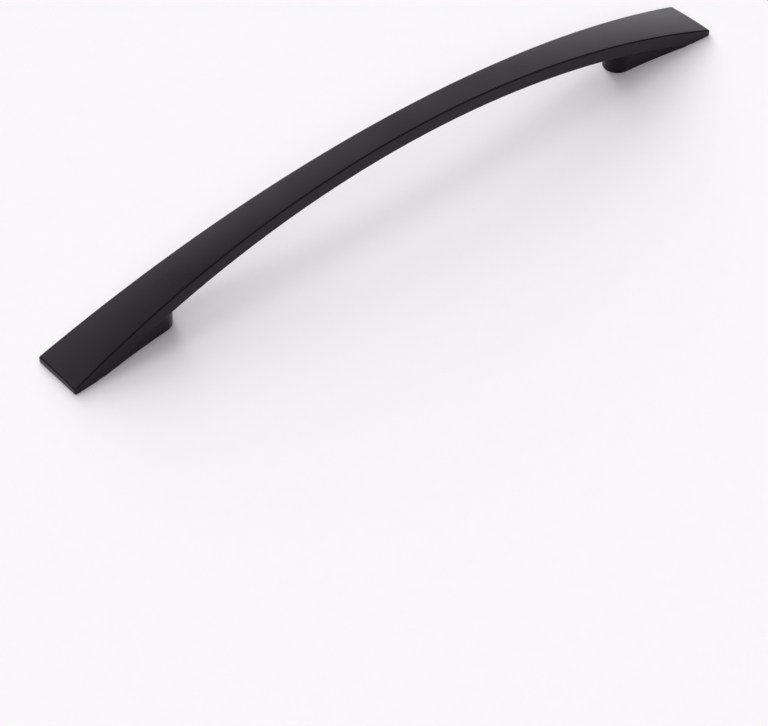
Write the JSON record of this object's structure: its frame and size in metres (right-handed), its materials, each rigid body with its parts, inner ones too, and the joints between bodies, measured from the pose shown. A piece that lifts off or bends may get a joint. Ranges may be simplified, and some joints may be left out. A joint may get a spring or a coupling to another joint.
{
  "type": "cabinet handle",
  "caption": "Slim bowed cabinet handle with a waisted grip, flared flat ends and round-nosed tapped feet, screwed to a door or drawer front from behind, in satin black.",
  "frame": {"origin": "on the mounting plane, midway between the two screw holes", "axes": "+X along the handle, +Z out of the cabinet front towards the crown of the bow, +Y across the bow"},
  "size_m": [0.219, 0.0152, 0.0215],
  "materials": {
    "black_coating": "satin powder coat on a zinc casting"
  },
  "bodies": {
    "root": {"bow_handle": "black_coating"}
  },
  "joints": []
}
